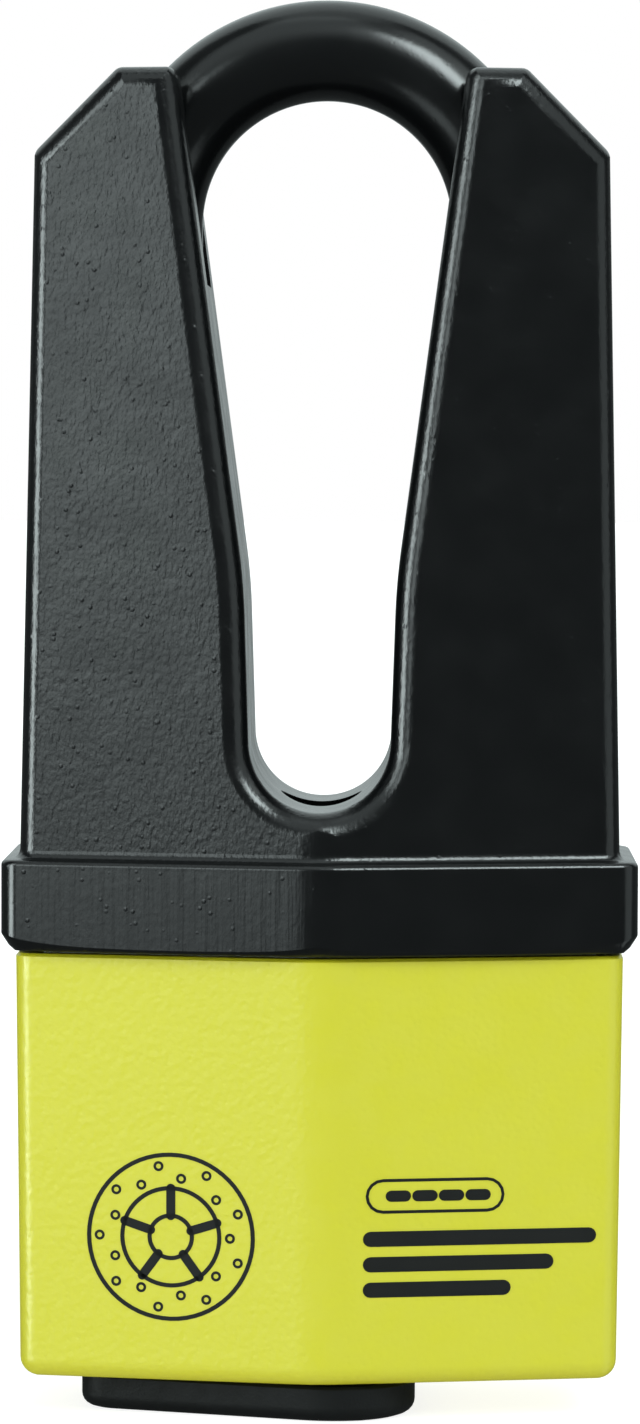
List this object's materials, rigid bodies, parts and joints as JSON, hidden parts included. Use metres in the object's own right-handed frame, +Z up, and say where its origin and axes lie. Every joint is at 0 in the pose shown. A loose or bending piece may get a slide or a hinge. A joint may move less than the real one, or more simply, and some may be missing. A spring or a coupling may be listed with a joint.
{
  "type": "disc brake lock",
  "caption": "Long-armed disc brake lock: a black forked casting with a ridged hexagonal body, a removable round shackle, a yellow housing and a swivelling keyhole cover.",
  "frame": {"origin": "under the middle of the body, on the bottom face of the keyhole cover, which the lock stands on", "axes": "+Z up along the arms, X across the width with the left end of the keyhole cover at -X, -Y to the front ridge"},
  "size_m": [0.0626, 0.0368, 0.14],
  "materials": {
    "black_paint": "gloss black paint over a rough casting",
    "shackle_paint": "smooth gloss black paint on hardened bar",
    "yellow_plastic": "fluorescent yellow moulded plastic with a fine leather grain",
    "black_plastic": "matte black moulded plastic with a fine grain",
    "core_steel": "machined steel",
    "hardened_steel": "hardened and ground steel",
    "spring_steel": "bright spring steel",
    "brass": "machined brass",
    "rubber": "soft black rubber"
  },
  "bodies": {
    "lock_body": {"fork_casting": "black_paint", "housing_cover": "yellow_plastic", "core_upper": "core_steel", "core_lower": "core_steel", "base_plate": "core_steel", "anti_drill_plate": "hardened_steel", "cylinder_housing": "brass", "cylinder_pin": "spring_steel", "leg_spring_left": "spring_steel", "leg_seal_left": "rubber", "leg_spring_right": "spring_steel", "leg_seal_right": "rubber", "case_screw_1": "hardened_steel", "case_screw_2": "hardened_steel", "case_screw_3": "hardened_steel", "case_screw_4": "hardened_steel", "cover_pivot": "hardened_steel", "cover_washer": "spring_steel"},
    "shackle": {"shackle_bow": "shackle_paint"},
    "plug": {"cylinder_plug": "brass", "detainer_disc_1": "brass", "detainer_disc_2": "brass", "detainer_disc_3": "brass", "detainer_disc_4": "brass", "detainer_disc_5": "brass", "detainer_disc_6": "brass", "detainer_disc_7": "brass", "disc_spacer_1": "spring_steel", "disc_spacer_2": "spring_steel", "disc_spacer_3": "spring_steel", "disc_spacer_4": "spring_steel", "disc_spacer_5": "spring_steel", "disc_spacer_6": "spring_steel", "side_bar": "hardened_steel", "drive_cam": "hardened_steel"},
    "slide": {"locking_slide": "hardened_steel"},
    "key_cover": {"keyhole_cover": "black_plastic"}
  },
  "joints": [
    {"name": "shackle_lift", "type": "slide", "parent": "lock_body", "child": "shackle", "axis": [0, 0, 1], "range_m": [0, 0.101]},
    {"name": "plug_turn", "type": "hinge", "parent": "lock_body", "child": "plug", "pos_m": [0, 0, 0.02], "axis": [0, 0, 1], "range_deg": [0, 90]},
    {"name": "slide_lock", "type": "slide", "parent": "lock_body", "child": "slide", "axis": [1, 0, 0], "range_m": [0, 0.0032]},
    {"name": "key_cover_swivel", "type": "hinge", "parent": "lock_body", "child": "key_cover", "pos_m": [-0.019, 0, 0.002], "axis": [0, 0, -1], "range_deg": [0, 100]}
  ],
  "couplings": [
    {"joint": "slide_lock", "follows": "plug_turn", "m_per_rad": 0.0020371}
  ]
}
